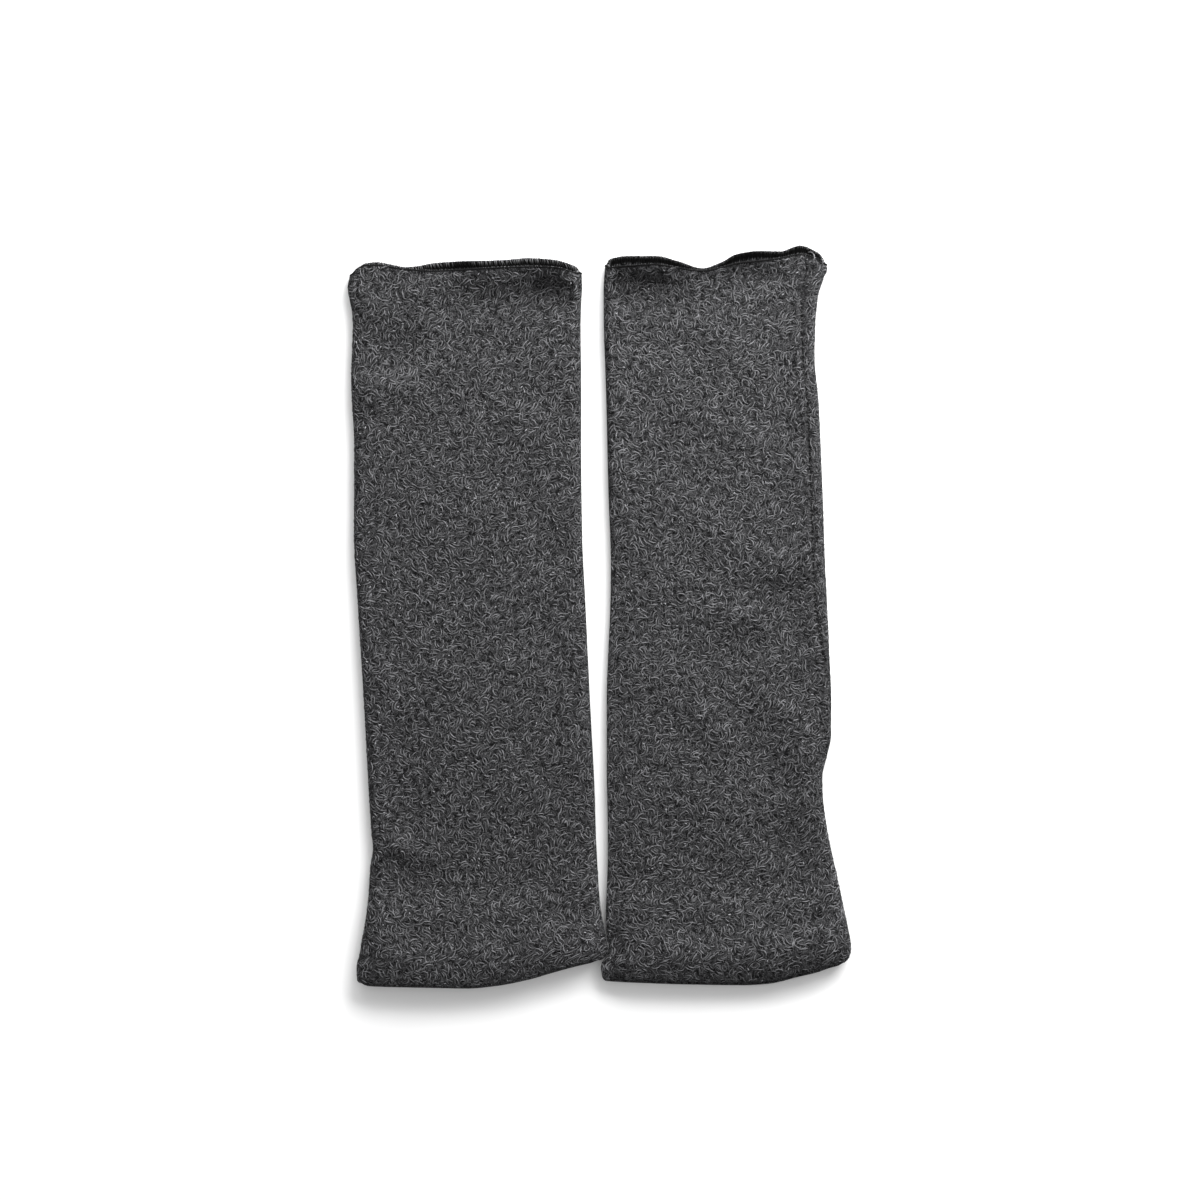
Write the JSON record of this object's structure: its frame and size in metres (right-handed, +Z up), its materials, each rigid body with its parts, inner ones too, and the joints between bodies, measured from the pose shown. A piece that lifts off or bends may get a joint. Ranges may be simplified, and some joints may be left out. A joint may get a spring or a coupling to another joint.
{
  "type": "pair of fingerless mittens",
  "caption": "Long knitted fingerless mittens laid flat side by side: folded tubes with a turned hem at the hand end and a wavy overlocked edge at the arm end.",
  "frame": {"origin": "on the surface that the pair lies on, under the middle of its bounding box", "axes": "+X from the left mitten to the right one as seen from above, +Y from the hand end to the arm end, +Z up from the surface"},
  "size_m": [0.2082, 0.308, 0.008],
  "materials": {
    "marl_knit": "brushed charcoal marl knit, dull, with fine light curled fibres",
    "overlock_thread": "dark spun overlock thread, dull"
  },
  "bodies": {
    "root": {"left_front": "marl_knit", "left_back": "marl_knit", "left_seam_arm": "overlock_thread", "left_seam_hand": "overlock_thread", "right_front": "marl_knit", "right_back": "marl_knit", "right_seam_arm": "overlock_thread", "right_seam_hand": "overlock_thread"}
  },
  "joints": []
}
